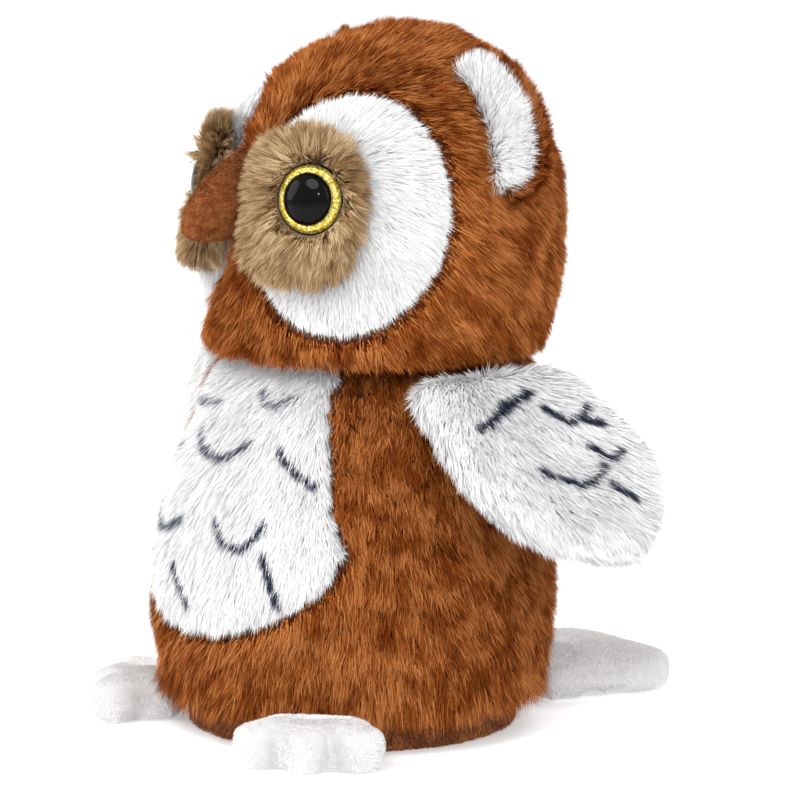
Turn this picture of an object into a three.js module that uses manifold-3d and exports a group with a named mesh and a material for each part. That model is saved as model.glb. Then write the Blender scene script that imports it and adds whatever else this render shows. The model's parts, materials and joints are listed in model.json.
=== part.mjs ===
// An owl hand puppet of fur fabric: a hollow body with a lining for the hand, a stuffed head that turns and
// nods on a neck sleeve, moulded eyes, two flapping wings, two soft feet and a soft tail.
// Millimetres, +Z up. The owl faces -Y and its left side is +X. The pieces are made about a line through the
// body; at the end the puppet is moved so that the origin is on the floor in the middle of its outline.
import * as THREE from "three";
import { mergeVertices } from "three/addons/utils/BufferGeometryUtils.js";
import Module from "manifold-3d";

const wasm = await Module();
wasm.setup();

// ---- Driving dimensions ----
const GAP = 0.3; // left between pieces that touch or are sewn together
const ROUND = 26; // steps around the body and the head
const FUR = 5; // thickness of fur fabric with its pile
const LINING = 1.2; // thickness of lining fabric
const PAST = 10; // how far a cutting form runs past the face it opens
const CUT_FROM = 12; // prisms that cut a skin start inside it, this far out from the centre line
const CUT_TO = 95; // and end outside it

// Body
const BASE_Y = -5.5; // the body's centre line at the base, a little forward of the neck
const HEM_RADIUS = 56;
const HEM_HEIGHT = 14;
const HEM_THICKNESS = 3.5;
const SKIN_OVER_HEM = 2; // how far the skin's lower edge stands out of the hem band
const BELLY_RADIUS = 68;
const BELLY_Z = 46;
const BELLY_LOWER_CURVE = 2.4; // the higher, the later the belly rounds in below
const BELLY_UPPER_CURVE = 1.9; // and above
const SHOULDER_RADIUS = 56;
const SHOULDER_Z = 118;
const LEAN_FROM_Z = 70; // above it the body leans back to the neck
const BODY_RINGS = 6;
const DOME_RINGS = 4;
const BELLY_PANEL_HALF_WIDTH = 50;
const BELLY_PANEL_TOP_HALF = 28;
const BELLY_PANEL_TOP_Z = 131;
const BELLY_PANEL_BOTTOM_Z = 40;
const BELLY_PANEL_ROUND_Z = 70; // where its straight sides start to round in

// Neck: the head turns and nods about this point
const NECK_Y = 4;
const NECK_Z = 84;
const SHOULDER_DOME = Math.hypot(SHOULDER_RADIUS, SHOULDER_Z - NECK_Z); // the shoulders are round about it
const SHOULDER_ANGLE = Math.atan2(SHOULDER_Z - NECK_Z, SHOULDER_RADIUS);
const NECK_CLEARANCE = 1.5; // between the shoulder dome and the head above it
const HEAD_HOLLOW = SHOULDER_DOME + NECK_CLEARANCE;
const NECK_HOLE_RADIUS = 30;
const NECK_SLEEVE_RADIUS = 28;
const NECK_SLEEVE_LENGTH = 24;
const NECK_SLEEVE_BELOW = 3; // its top is this far under the shoulder dome

// Head
const HEAD_RADIUS = 60;
const HEAD_RIM_RADIUS = 58;
const HEAD_RIM_Z = 130;
const HEAD_SIDE_Z = 152; // above it the head's sides are straight
const HEAD_WIDEST_Z = 175;
const HEAD_TOP_Z = 239.5;
const HEAD_RINGS = 6;
const HEAD_BACK = 5; // the head's centre line is this far behind the neck
const CROWN_FROM_Z = 200; // above it the crown leans back
const CROWN_LEAN = 11;
const FINGER_RADIUS = 17;
const FINGER_TOP_Z = 205;
const FINGER_TIP_ROUND = 4;
const DISH_RIM_ANGLE = 0.79; // radians above the horizontal, from the neck's pivot
const DISH_RINGS = 3;

// Face
const DISC_AZIMUTH = 39.5; // degrees from straight ahead
const DISC_Z = 180;
const DISC_HALF_WIDTH = HEAD_RADIUS * 11 / 20; // the discs all but meet on the middle line
const DISC_HALF_HEIGHT = 39;
const DISC_SLANT = 11; // degrees by which its top leans outward
const DISC_PROUD = 0.8;
const EYE_AZIMUTH = 30;
const EYE_TILT = 8;
const EYE_Z = 178; // where the eye's axis leaves the head's centre line
const PATCH_HALF_WIDTH = HEAD_RADIUS / 3; // reaches the beak
const PATCH_HALF_HEIGHT = 23;
const PATCH_AZIMUTH = 26;
const PATCH_DROP = 2; // its middle is this far below the eye's
const PATCH_THICKNESS = 6;
const EYE_STEPS = 18;
const EYE_LIFT = 1; // the cup's flat back clears the round face disc by this
const EYE_RADIUS = 12;
const EYE_RIM = 0.9;
const EYE_CUP_HEIGHT = 3.4;
const EYE_CUP_FLOOR = 1.6;
const PUPIL_RADIUS = 8.7;
const PUPIL_SIDE = 0.6; // straight part of the pupil above the cup's lip
const PUPIL_DOME = 3.4;
const PUPIL_RINGS = 4;
const GLITTER_RISE = 1; // how far the glitter ring slopes up to the pupil
const EYE_BASE_ROUND = 1;
const EYE_LIP_ROUND = 0.4;
const STEM_RADIUS = 3;
const STEM_PAST_WASHER = 0.5;
const WASHER_RADIUS = 8;
const WASHER_THICKNESS = 2;
const WASHER_BEHIND = 0.4; // its nearest edge is this far behind the skin's inner face
const BEAK_Z = 188;
const BEAK_HALF_WIDTH = 10.5;
const BEAK_HALF_HEIGHT = 15;
const BEAK_REACH = 25; // how far it stands out of the face
const BEAK_ROOT = 12; // how far its root goes into the head's round
const BEAK_TAPER = 0.35; // share of the width lost at the point
const BEAK_HOOK = 11; // how far its point turns down
const BEAK_BEND = 1.6; // the higher, the nearer the point it turns

// Ears
const EAR_ANGLE = 33; // degrees above the horizontal, seen from the front
const EAR_Y = 17;
const EAR_LENGTH = 25; // half its length along the head
const EAR_REACH = 14; // how far it stands out of the head
const EAR_RISE = 3;
const EAR_LEAN = [0.64, 0.6, 0.48]; // the way it stands out
const EAR_LINING_INSET = 3;
const EAR_LINING_THICKNESS = 3.5;
const EAR_BACK_THICKNESS = 6;

// Wings
const WING_HINGE_X = 59.5;
const WING_HINGE_Y = 6;
const WING_HINGE_Z = 122;
const WING_DROOP = 50; // degrees below the horizontal at rest
const WING_LENGTH = 72;
const WING_ROOT_HALF = 26;
const WING_PANEL = 2.6; // thickness of each fur panel
const WING_BATTING = 2.4;
const WING_SEAM = 5; // from the outline to the batting
const WING_EDGE = 0.8; // how much each panel's edge is rounded

// Feet
const FOOT_AZIMUTH = 44;
const FOOT_CLEARANCE = 2.5; // from the hem band to the foot's back edge
const FOOT_LENGTH = 30; // from its back edge to the side toes' tips
const FOOT_TOP_Z = 13.6;
const FOOT_PANEL = 2.4;
const FOOT_ROUND = 3;
const SOLE = 2;
const SOLE_INSET = 1;
const TOE_RADIUS = 9.5;
const TOE_SPACING = 16.5;
const MIDDLE_TOE_AHEAD = 4;
const TOE_CREASE = 0.2 * Math.PI; // a toe's round ends at this angle in the crease beside the next toe
const TOE_OUTER_ARC = 0.35 * Math.PI; // and this far back on the foot's outer side

// Tail
const TAIL_CLEARANCE = 10; // from the hem band to the tail's root, under the skin's lower edge
const TAIL_LENGTH = 57;
const TAIL_ROOT_HALF = 26;
const TAIL_END_HALF = 33;
const TAIL_CORNER = 17;
const TAIL_HEIGHT = 12.5;
const TAIL_PANEL = 2.4;
const TAIL_ROUND = 3.2;
const TAIL_SEAM = 0.6; // width of the seam at the top panel's edge
const TAIL_UNDER_INSET = 0.8;

// ---- Materials ----
function finish(color, roughness = 0.9, metalness = 0) {
  return new THREE.MeshStandardMaterial({ color, roughness, metalness });
}
const brownFur = finish(0x9c5226);
const whiteFur = finish(0xf4f4f6);
const tanFur = finish(0xb2966e);
const brownPile = finish(0x7d4123);
const whitePlush = finish(0xf0eeee);
const liningCloth = finish(0x6b4630);
const stuffing = finish(0xfafafa);
const blackPlastic = finish(0x0a0a0a, 0.12);
const goldGlitter = finish(0xc8aa28, 0.3, 0.8);
const washerPlastic = finish(0xdedede, 0.4);

// ---- Solids ----
// The manifold solid of a closed geometry.
function solid(geometry) {
  const bare = geometry.index ? geometry.toNonIndexed() : geometry.clone();
  bare.deleteAttribute("normal");
  bare.deleteAttribute("uv");
  const merged = mergeVertices(bare, 1e-4);
  const mesh = new wasm.Mesh({
    numProp: 3,
    vertProperties: merged.attributes.position.array,
    triVerts: new Uint32Array(merged.index.array),
  });
  return new wasm.Manifold(mesh);
}

function geometryOf(manifold) {
  const mesh = manifold.getMesh();
  const geometry = new THREE.BufferGeometry();
  geometry.setAttribute("position", new THREE.BufferAttribute(mesh.vertProperties, 3));
  geometry.setIndex(new THREE.BufferAttribute(mesh.triVerts, 1));
  geometry.computeVertexNormals();
  return geometry;
}

function named(name, shape, material) {
  const geometry = shape.isBufferGeometry ? shape : geometryOf(shape);
  const mesh = new THREE.Mesh(geometry, material);
  mesh.name = name;
  return mesh;
}

// A turned solid about the Z axis from [radius, height] points.
function turned(points, steps = ROUND) {
  const profile = points.map(([radius, height]) => new THREE.Vector2(radius, height));
  return new THREE.LatheGeometry(profile, steps).rotateX(Math.PI / 2);
}

// Moves each ring of a turned solid along Y by lean(height).
function leaned(geometry, lean) {
  const at = geometry.attributes.position;
  for (let i = 0; i < at.count; i++) {
    at.setY(i, at.getY(i) + lean(at.getZ(i)));
  }
  return geometry;
}

function neckSphere(radius) {
  return solid(turned(arcPoints(radius)).translate(0, NECK_Y, NECK_Z));
}

// A half circle of [radius, height] points from the lowest to the highest.
function arcPoints(radius, steps = 16) {
  return Array.from({ length: steps + 1 }, (_, i) => {
    const angle = (Math.PI * i) / steps;
    return [i % steps ? radius * Math.sin(angle) : 0, -radius * Math.cos(angle)];
  });
}

// The matrix that takes +Z to the given outward direction, +Y to nearly up, and the origin to a point.
function facing(azimuth, point, tilt = 0) {
  const turn = THREE.MathUtils.degToRad(azimuth);
  const rise = THREE.MathUtils.degToRad(tilt);
  const out = new THREE.Vector3(
    Math.sin(turn) * Math.cos(rise),
    -Math.cos(turn) * Math.cos(rise),
    Math.sin(rise),
  );
  const side = new THREE.Vector3(0, 0, 1).cross(out).normalize();
  const up = out.clone().cross(side);
  return new THREE.Matrix4().makeBasis(side, up, out).setPosition(...point);
}

function ellipse(halfWidth, halfHeight, steps = 22) {
  const shape = new THREE.Shape();
  shape.absellipse(0, 0, halfWidth, halfHeight, 0, 2 * Math.PI);
  return new THREE.Shape(shape.getPoints(steps).slice(0, -1));
}

// A prism over a shape, from one height to another.
function prism(shape, from, to) {
  const options = { depth: to - from, bevelEnabled: false, curveSegments: 6 };
  return new THREE.ExtrudeGeometry(shape, options).translate(0, 0, from);
}

// A rounded plate over a shape: its edge is bevelled by the same amount as its rim is cut down.
function cushion(shape, from, to, round) {
  const options = {
    depth: to - from - 2 * round,
    bevelThickness: round,
    bevelSize: round,
    bevelOffset: -round,
    bevelSegments: round > 2 ? 2 : 1,
    curveSegments: 6,
  };
  return new THREE.ExtrudeGeometry(shape, options).translate(0, 0, from + round);
}

// ---- Body ----
const BODY_FROM_Z = HEM_HEIGHT + GAP;

function bodyLean(z) {
  return THREE.MathUtils.lerp(BASE_Y, NECK_Y, THREE.MathUtils.smoothstep(z, LEAN_FROM_Z, SHOULDER_Z));
}

// The body's outside radius below the shoulders.
function bodyRadius(z) {
  if (z < BELLY_Z) {
    const down = (BELLY_Z - z) / BELLY_Z;
    return BELLY_RADIUS - (BELLY_RADIUS - HEM_RADIUS - SKIN_OVER_HEM) * down ** BELLY_LOWER_CURVE;
  }
  const up = (z - BELLY_Z) / (SHOULDER_Z - BELLY_Z);
  return BELLY_RADIUS - (BELLY_RADIUS - SHOULDER_RADIUS) * up ** BELLY_UPPER_CURVE;
}

// A closed form of the body, inset from its outside. It runs from a height up to the shoulder dome.
function bodyForm(inset, fromZ) {
  const points = [[0, fromZ]];
  const dome = SHOULDER_DOME - inset;
  if (fromZ < BODY_FROM_Z) {
    points.push([bodyRadius(BODY_FROM_Z) - inset, fromZ]);
  }
  const shoulder = SHOULDER_Z - inset * Math.sin(SHOULDER_ANGLE);
  for (let i = 0; i <= BODY_RINGS; i++) {
    const z = THREE.MathUtils.lerp(BODY_FROM_Z, shoulder, i / BODY_RINGS);
    points.push([bodyRadius(z) - inset, z]);
  }
  for (let i = 1; i < DOME_RINGS; i++) {
    const angle = THREE.MathUtils.lerp(SHOULDER_ANGLE, Math.PI / 2, i / DOME_RINGS);
    points.push([dome * Math.cos(angle), NECK_Z + dome * Math.sin(angle)]);
  }
  points.push([0, NECK_Z + dome]);
  return solid(leaned(turned(points), bodyLean));
}

function neckHole(radius) {
  const bar = turned([[0, NECK_Z], [radius, NECK_Z], [radius, HEAD_TOP_Z], [0, HEAD_TOP_Z]]);
  return solid(bar.translate(0, NECK_Y, 0));
}

// The belly panel's outline, seen from the front: straight sides and a round bottom.
function bellyPrism(margin) {
  const half = BELLY_PANEL_HALF_WIDTH + margin;
  const drop = BELLY_PANEL_ROUND_Z - BELLY_PANEL_BOTTOM_Z + margin;
  const shape = new THREE.Shape();
  shape.moveTo(BELLY_PANEL_TOP_HALF + margin, BELLY_PANEL_TOP_Z + margin);
  shape.lineTo(-BELLY_PANEL_TOP_HALF - margin, BELLY_PANEL_TOP_Z + margin);
  shape.absellipse(0, BELLY_PANEL_ROUND_Z, half, drop, Math.PI, 2 * Math.PI);
  return solid(prism(shape, CUT_FROM, CUT_TO).applyMatrix4(facing(0, [0, 0, 0])));
}

function bodyShell() {
  return bodyForm(0, BODY_FROM_Z)
    .subtract(bodyForm(FUR, BODY_FROM_Z - PAST))
    .subtract(neckHole(NECK_HOLE_RADIUS));
}

function bodyPieces() {
  const hem = turned([
    [HEM_RADIUS - HEM_THICKNESS, 0],
    [HEM_RADIUS, 0],
    [HEM_RADIUS, HEM_HEIGHT],
    [HEM_RADIUS - HEM_THICKNESS, HEM_HEIGHT],
    [HEM_RADIUS - HEM_THICKNESS, 0],
  ]).translate(0, BASE_Y, 0);
  const inside = FUR + GAP;
  const lining = bodyForm(inside, BODY_FROM_Z)
    .subtract(bodyForm(inside + LINING, BODY_FROM_Z - PAST))
    .subtract(neckHole(NECK_HOLE_RADIUS));
  return [
    named("body_skin", bodyShell().subtract(bellyPrism(GAP)), brownFur),
    named("belly_panel", bodyShell().intersect(bellyPrism(0)), whiteFur),
    named("hem_band", hem, brownPile),
    named("body_lining", lining, liningCloth),
  ];
}

// ---- Neck ----
function neckPieces() {
  const dome = Math.sqrt(SHOULDER_DOME ** 2 - NECK_SLEEVE_RADIUS ** 2);
  const top = NECK_Z + dome - NECK_SLEEVE_BELOW;
  const inner = NECK_SLEEVE_RADIUS - LINING;
  const sleeve = turned([
    [inner, top - NECK_SLEEVE_LENGTH],
    [NECK_SLEEVE_RADIUS, top - NECK_SLEEVE_LENGTH],
    [NECK_SLEEVE_RADIUS, top],
    [inner, top],
    [inner, top - NECK_SLEEVE_LENGTH],
  ]).translate(0, NECK_Y, 0);
  return [named("neck_sleeve", sleeve, liningCloth)];
}

// ---- Head ----
function headLean(z) {
  const crown = Math.max(0, z - CROWN_FROM_Z) / (HEAD_TOP_Z - CROWN_FROM_Z);
  const back = HEAD_BACK * THREE.MathUtils.smoothstep(z, HEAD_RIM_Z, HEAD_WIDEST_Z);
  return NECK_Y + back + CROWN_LEAN * crown ** 2;
}

// A closed form of the head, grown out from its outside (or inset, when negative), from a height up.
function headForm(grown, fromZ) {
  const points = [[0, fromZ]];
  for (const z of [fromZ, (HEAD_RIM_Z + HEAD_SIDE_Z) / 2, HEAD_SIDE_Z]) {
    const up = THREE.MathUtils.smoothstep(z, HEAD_RIM_Z, HEAD_SIDE_Z);
    points.push([THREE.MathUtils.lerp(HEAD_RIM_RADIUS, HEAD_RADIUS, up) + grown, z]);
  }
  for (let i = 0; i < HEAD_RINGS; i++) {
    const angle = (Math.PI / 2) * (i / HEAD_RINGS);
    const rise = (HEAD_TOP_Z - HEAD_WIDEST_Z + grown) * Math.sin(angle);
    points.push([(HEAD_RADIUS + grown) * Math.cos(angle), HEAD_WIDEST_Z + rise]);
  }
  points.push([0, HEAD_TOP_Z + grown]);
  return solid(leaned(turned(points), headLean));
}

function headCentre(z) {
  return [0, headLean(z), z];
}

// How far the head's outside, or a form inset from it, is from its centre line at a height above its widest.
function headReach(z, inset = 0) {
  const up = (z - HEAD_WIDEST_Z) / (HEAD_TOP_Z - HEAD_WIDEST_Z - inset);
  return (HEAD_RADIUS - inset) * Math.sqrt(1 - up ** 2);
}

// A face disc's outline as a prism out of the head's side.
function discPrism(margin, side = 1) {
  const shape = ellipse(DISC_HALF_WIDTH + margin, DISC_HALF_HEIGHT + margin);
  const bar = prism(shape, CUT_FROM, CUT_TO).rotateZ(-side * THREE.MathUtils.degToRad(DISC_SLANT));
  return solid(bar.applyMatrix4(facing(side * DISC_AZIMUTH, headCentre(DISC_Z))));
}

// A round bar along the eye's axis, between two distances from the head's centre line.
function eyeBar(radius, from, to, side = 1) {
  const bar = turned([[0, from], [radius, from], [radius, to], [0, to]], EYE_STEPS);
  return solid(bar.applyMatrix4(facing(side * EYE_AZIMUTH, headCentre(EYE_Z), EYE_TILT)));
}

// Distances along the eye's axis from the head's centre line.
const EYE_SEAT = headReach(EYE_Z) + DISC_PROUD + EYE_LIFT; // the back of the eye cup, against the face disc
const EYE_RISE = THREE.MathUtils.degToRad(EYE_TILT);
const EYE_MIDDLE_Z = EYE_Z + HEAD_RADIUS * Math.sin(EYE_RISE);
const WASHER_UP = WASHER_RADIUS * Math.cos(EYE_RISE);
const WASHER_OUT = WASHER_RADIUS * Math.sin(EYE_RISE); // its lower edge stands this much further out
const TOP_ROOM = headReach(EYE_MIDDLE_Z + WASHER_UP, FUR) + WASHER_OUT;
const HEAD_FACET = HEAD_RADIUS * (1 - Math.cos(Math.PI / 4 / HEAD_RINGS)); // depth of a flat between rings
const LOW_ROOM = headReach(EYE_MIDDLE_Z - WASHER_UP, FUR) - WASHER_OUT - HEAD_FACET;
const WASHER_FRONT = (Math.min(TOP_ROOM, LOW_ROOM) - WASHER_BEHIND) / Math.cos(EYE_RISE);
const STEM_END = WASHER_FRONT - WASHER_THICKNESS - STEM_PAST_WASHER;

function headHollow(margin = 0) {
  return neckSphere(HEAD_HOLLOW + margin);
}

function beakForm(grown) {
  const ball = new THREE.SphereGeometry(1, 20, 14);
  const depth = BEAK_REACH + BEAK_ROOT;
  ball.scale(BEAK_HALF_WIDTH + grown, depth + grown, BEAK_HALF_HEIGHT + grown);
  const at = ball.attributes.position;
  for (let i = 0; i < at.count; i++) {
    const forward = Math.max(0, -at.getY(i) / depth);
    at.setX(i, at.getX(i) * (1 - BEAK_TAPER * forward));
    at.setZ(i, at.getZ(i) - BEAK_HOOK * forward ** BEAK_BEND);
  }
  return solid(ball.translate(0, headLean(BEAK_Z) - headReach(BEAK_Z) + BEAK_ROOT, BEAK_Z));
}

function headShell(proud) {
  return headForm(proud, HEAD_RIM_Z)
    .subtract(headForm(-FUR, HEAD_RIM_Z - PAST))
    .subtract(headHollow());
}

function stuffedHead() {
  const inside = -(FUR + GAP);
  let fill = headForm(inside, HEAD_RIM_Z + GAP).subtract(headHollow(LINING + 3 * GAP));
  const radius = FINGER_RADIUS + GAP;
  const pocket = turned([[0, NECK_Z], [radius, NECK_Z], [radius, FINGER_TOP_Z], [0, FINGER_TOP_Z]]);
  fill = fill.subtract(solid(pocket.translate(0, NECK_Y, 0)));
  for (const side of [1, -1]) {
    fill = fill.subtract(eyeBar(WASHER_RADIUS + GAP, STEM_END - GAP, EYE_SEAT, side));
  }
  return fill;
}

// A lining dish under the stuffing with a closed tube for two or three fingers.
function fingerSleeve() {
  const low = HEAD_HOLLOW + GAP;
  const high = low + LINING;
  const outer = FINGER_RADIUS;
  const inner = FINGER_RADIUS - LINING;
  const tip = FINGER_TOP_Z - GAP;
  const at = (radius, angle) => [radius * Math.cos(angle), NECK_Z + radius * Math.sin(angle)];
  const dish = (radius, tube) => {
    const join = Math.acos(tube / radius);
    return Array.from({ length: DISH_RINGS + 1 }, (_, i) => {
      return at(radius, THREE.MathUtils.lerp(DISH_RIM_ANGLE, join, i / DISH_RINGS));
    });
  };
  const points = [
    [0, tip - LINING],
    [inner, tip - LINING - FINGER_TIP_ROUND],
    ...dish(low, inner).reverse(),
    ...dish(high, outer),
    [outer, tip - FINGER_TIP_ROUND],
    [0, tip],
  ];
  return solid(turned(points, EYE_STEPS).translate(0, NECK_Y, 0));
}

function headPieces() {
  let skin = headShell(0);
  for (const side of [1, -1]) {
    skin = skin.subtract(discPrism(GAP, side)).subtract(eyeBar(STEM_RADIUS + GAP, CUT_FROM, CUT_TO, side));
  }
  return [
    named("head_skin", skin, brownFur),
    named("head_stuffing", stuffedHead(), stuffing),
    named("finger_sleeve", fingerSleeve(), liningCloth),
    named("beak", beakForm(0).subtract(headForm(DISC_PROUD + GAP, HEAD_RIM_Z)), brownPile),
  ];
}

// ---- One side's face and ear ----
// The eye patch is a shield with a peak above and a corner on each side below. Its points are shares of
// the half width and the half height.
function patchShape() {
  const half = [[0.55, 0.9], [0.86, 0.62], [1, 0.15], [0.98, -0.35], [0.84, -0.82], [0.4, -1]];
  const mirrored = half.map(([across, up]) => [-across, up]).reverse();
  const points = [[0, 1], ...half, ...mirrored].map(([across, up]) => {
    return new THREE.Vector2(across * PATCH_HALF_WIDTH, up * PATCH_HALF_HEIGHT);
  });
  return new THREE.Shape(points);
}

function facePieces(side) {
  const disc = headShell(DISC_PROUD)
    .intersect(discPrism(0))
    .subtract(eyeBar(STEM_RADIUS + GAP, CUT_FROM, CUT_TO));
  const patchPlace = facing(PATCH_AZIMUTH, headCentre(EYE_Z - PATCH_DROP), EYE_TILT);
  const patchBar = solid(prism(patchShape(), CUT_FROM, CUT_TO).applyMatrix4(patchPlace));
  const patch = headForm(DISC_PROUD + GAP + PATCH_THICKNESS, HEAD_RIM_Z)
    .subtract(headForm(DISC_PROUD + GAP, HEAD_RIM_Z - PAST))
    .intersect(patchBar)
    .subtract(eyeBar(EYE_RADIUS + GAP, CUT_FROM, CUT_TO))
    .subtract(beakForm(GAP));
  return [
    named("face_disc_" + side, disc, whiteFur),
    named("eye_patch_" + side, patch, tanFur),
  ];
}

function eyePieces(side) {
  const place = facing(EYE_AZIMUTH, headCentre(EYE_Z), EYE_TILT);
  const dish = EYE_RADIUS - EYE_RIM;
  const stemEnd = STEM_END - EYE_SEAT;
  const cup = turned([
    [0, stemEnd],
    [STEM_RADIUS, stemEnd],
    [STEM_RADIUS, 0],
    [EYE_RADIUS - EYE_BASE_ROUND, 0],
    [EYE_RADIUS, EYE_BASE_ROUND],
    [EYE_RADIUS, EYE_CUP_HEIGHT - EYE_LIP_ROUND],
    [EYE_RADIUS - EYE_LIP_ROUND, EYE_CUP_HEIGHT],
    [dish, EYE_CUP_HEIGHT],
    [dish, EYE_CUP_FLOOR],
    [0, EYE_CUP_FLOOR],
  ], EYE_STEPS);
  const ringFloor = EYE_CUP_FLOOR + GAP;
  const ring = turned([
    [PUPIL_RADIUS + GAP, ringFloor],
    [dish - GAP, ringFloor],
    [dish - GAP, EYE_CUP_HEIGHT - EYE_LIP_ROUND],
    [PUPIL_RADIUS + GAP, EYE_CUP_HEIGHT + GLITTER_RISE],
    [PUPIL_RADIUS + GAP, ringFloor],
  ], EYE_STEPS);
  const domeFrom = EYE_CUP_HEIGHT + PUPIL_SIDE;
  const domePoints = Array.from({ length: PUPIL_RINGS }, (_, i) => {
    const angle = (Math.PI / 2) * (i / PUPIL_RINGS);
    return [PUPIL_RADIUS * Math.cos(angle), domeFrom + PUPIL_DOME * Math.sin(angle)];
  });
  const pupil = turned([
    [0, ringFloor],
    [PUPIL_RADIUS, ringFloor],
    ...domePoints,
    [0, domeFrom + PUPIL_DOME],
  ], EYE_STEPS);
  const washerFront = WASHER_FRONT - EYE_SEAT;
  const washer = turned([
    [STEM_RADIUS + GAP, washerFront - WASHER_THICKNESS],
    [WASHER_RADIUS, washerFront - WASHER_THICKNESS],
    [WASHER_RADIUS, washerFront],
    [STEM_RADIUS + GAP, washerFront],
    [STEM_RADIUS + GAP, washerFront - WASHER_THICKNESS],
  ], EYE_STEPS);
  const seat = new THREE.Matrix4().makeTranslation(0, 0, EYE_SEAT);
  const at = (geometry) => geometry.applyMatrix4(seat).applyMatrix4(place);
  return [
    named("eye_cup_" + side, at(cup), blackPlastic),
    named("eye_glitter_" + side, at(ring), goldGlitter),
    named("eye_pupil_" + side, at(pupil), blackPlastic),
    named("eye_washer_" + side, at(washer), washerPlastic),
  ];
}

function earPieces(side) {
  const angle = THREE.MathUtils.degToRad(EAR_ANGLE);
  const along = new THREE.Vector3(-Math.sin(angle), 0, Math.cos(angle));
  const out = new THREE.Vector3(...EAR_LEAN);
  out.addScaledVector(along, -out.dot(along)).normalize();
  const front = out.clone().cross(along).normalize();
  const reach = Math.sqrt(HEAD_RADIUS ** 2 - (EAR_Y - headLean(HEAD_WIDEST_Z)) ** 2);
  const centre = [reach * Math.cos(angle), EAR_Y, HEAD_WIDEST_Z + (reach + EAR_RISE) * Math.sin(angle)];
  const place = new THREE.Matrix4().makeBasis(out, along, front).setPosition(...centre);
  const clear = headForm(GAP + DISC_PROUD, HEAD_RIM_Z);
  const back = prism(ellipse(EAR_REACH, EAR_LENGTH), -EAR_BACK_THICKNESS, 0);
  const inset = EAR_LINING_INSET;
  const lining = prism(ellipse(EAR_REACH - inset, EAR_LENGTH - inset), GAP, GAP + EAR_LINING_THICKNESS);
  return [
    named("ear_back_" + side, solid(back.applyMatrix4(place)).subtract(clear), brownFur),
    named("ear_lining_" + side, solid(lining.applyMatrix4(place)).subtract(clear), whiteFur),
  ];
}

// ---- Wings ----
// The outline: x runs back along the seam, y out from it. It is a leaf whose tip leans back. Its points are
// shares of the seam's half length and of the wing's length.
function wingShape(inset) {
  const half = WING_ROOT_HALF - inset;
  const long = WING_LENGTH - 2 * inset;
  const front = [[-1.06, 0.06], [-0.98, 0.31], [-0.85, 0.53], [-0.65, 0.68], [-0.25, 0.83], [0.38, 0.95]];
  const tip = [1.04, 1];
  const back = [[1.42, 0.93], [1.69, 0.81], [1.9, 0.63], [1.89, 0.46], [1.64, 0.28], [1.35, 0.08]];
  const points = [...front, tip, ...back].map(([across, share]) => {
    return new THREE.Vector2(across * half, inset + share * long);
  });
  const shape = new THREE.Shape();
  shape.moveTo(-half, inset);
  shape.splineThru(points);
  shape.lineTo(half, inset);
  return new THREE.Shape(shape.getPoints(2));
}

function wingPieces(side) {
  const droop = THREE.MathUtils.degToRad(WING_DROOP);
  const outward = new THREE.Vector3(Math.cos(droop), 0, -Math.sin(droop));
  const back = new THREE.Vector3(0, 1, 0);
  const under = back.clone().cross(outward);
  const place = new THREE.Matrix4().makeBasis(back, outward, under);
  place.setPosition(WING_HINGE_X, WING_HINGE_Y, WING_HINGE_Z);
  const layer = (shape, middle, thickness) => {
    return cushion(shape, middle - thickness / 2, middle + thickness / 2, WING_EDGE).applyMatrix4(place);
  };
  const offset = (WING_BATTING + WING_PANEL) / 2 + GAP;
  return [
    named("wing_top_" + side, layer(wingShape(0), -offset, WING_PANEL), whiteFur),
    named("wing_batting_" + side, layer(wingShape(WING_SEAM), 0, WING_BATTING), stuffing),
    named("wing_under_" + side, layer(wingShape(0), offset, WING_PANEL), whiteFur),
  ];
}

// ---- Feet ----
// The foot's outline: y runs forward from the back edge to three round toes.
function footShape(inset) {
  const radius = TOE_RADIUS - inset;
  const shape = new THREE.Shape();
  const heel = TOE_SPACING - inset;
  shape.moveTo(-heel, inset);
  shape.lineTo(heel, inset);
  for (const toe of [1, 0, -1]) {
    const ahead = FOOT_LENGTH - TOE_RADIUS + (toe === 0 ? MIDDLE_TOE_AHEAD : 0);
    const from = toe === 1 ? -TOE_OUTER_ARC : TOE_CREASE;
    const to = toe === -1 ? Math.PI + TOE_OUTER_ARC : Math.PI - TOE_CREASE;
    shape.absarc(toe * TOE_SPACING, ahead, radius, from, to);
  }
  return new THREE.Shape(shape.getPoints(4));
}

function footPieces(side) {
  const reach = HEM_RADIUS + FOOT_CLEARANCE;
  const turn = THREE.MathUtils.degToRad(FOOT_AZIMUTH);
  const heel = [reach * Math.sin(turn), BASE_Y - reach * Math.cos(turn), 0];
  const place = new THREE.Matrix4().makeRotationZ(turn + Math.PI).setPosition(...heel);
  const top = solid(cushion(footShape(0), SOLE + GAP, FOOT_TOP_Z, FOOT_ROUND));
  const hollow = solid(prism(footShape(FOOT_PANEL), 0, FOOT_TOP_Z - FOOT_PANEL));
  const fill = prism(footShape(FOOT_PANEL + GAP), SOLE + GAP, FOOT_TOP_Z - FOOT_PANEL - GAP);
  const sole = prism(footShape(SOLE_INSET), 0, SOLE);
  return [
    named("foot_top_" + side, geometryOf(top.subtract(hollow)).applyMatrix4(place), whitePlush),
    named("foot_stuffing_" + side, fill.applyMatrix4(place), stuffing),
    named("foot_sole_" + side, sole.applyMatrix4(place), whitePlush),
  ];
}

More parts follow.
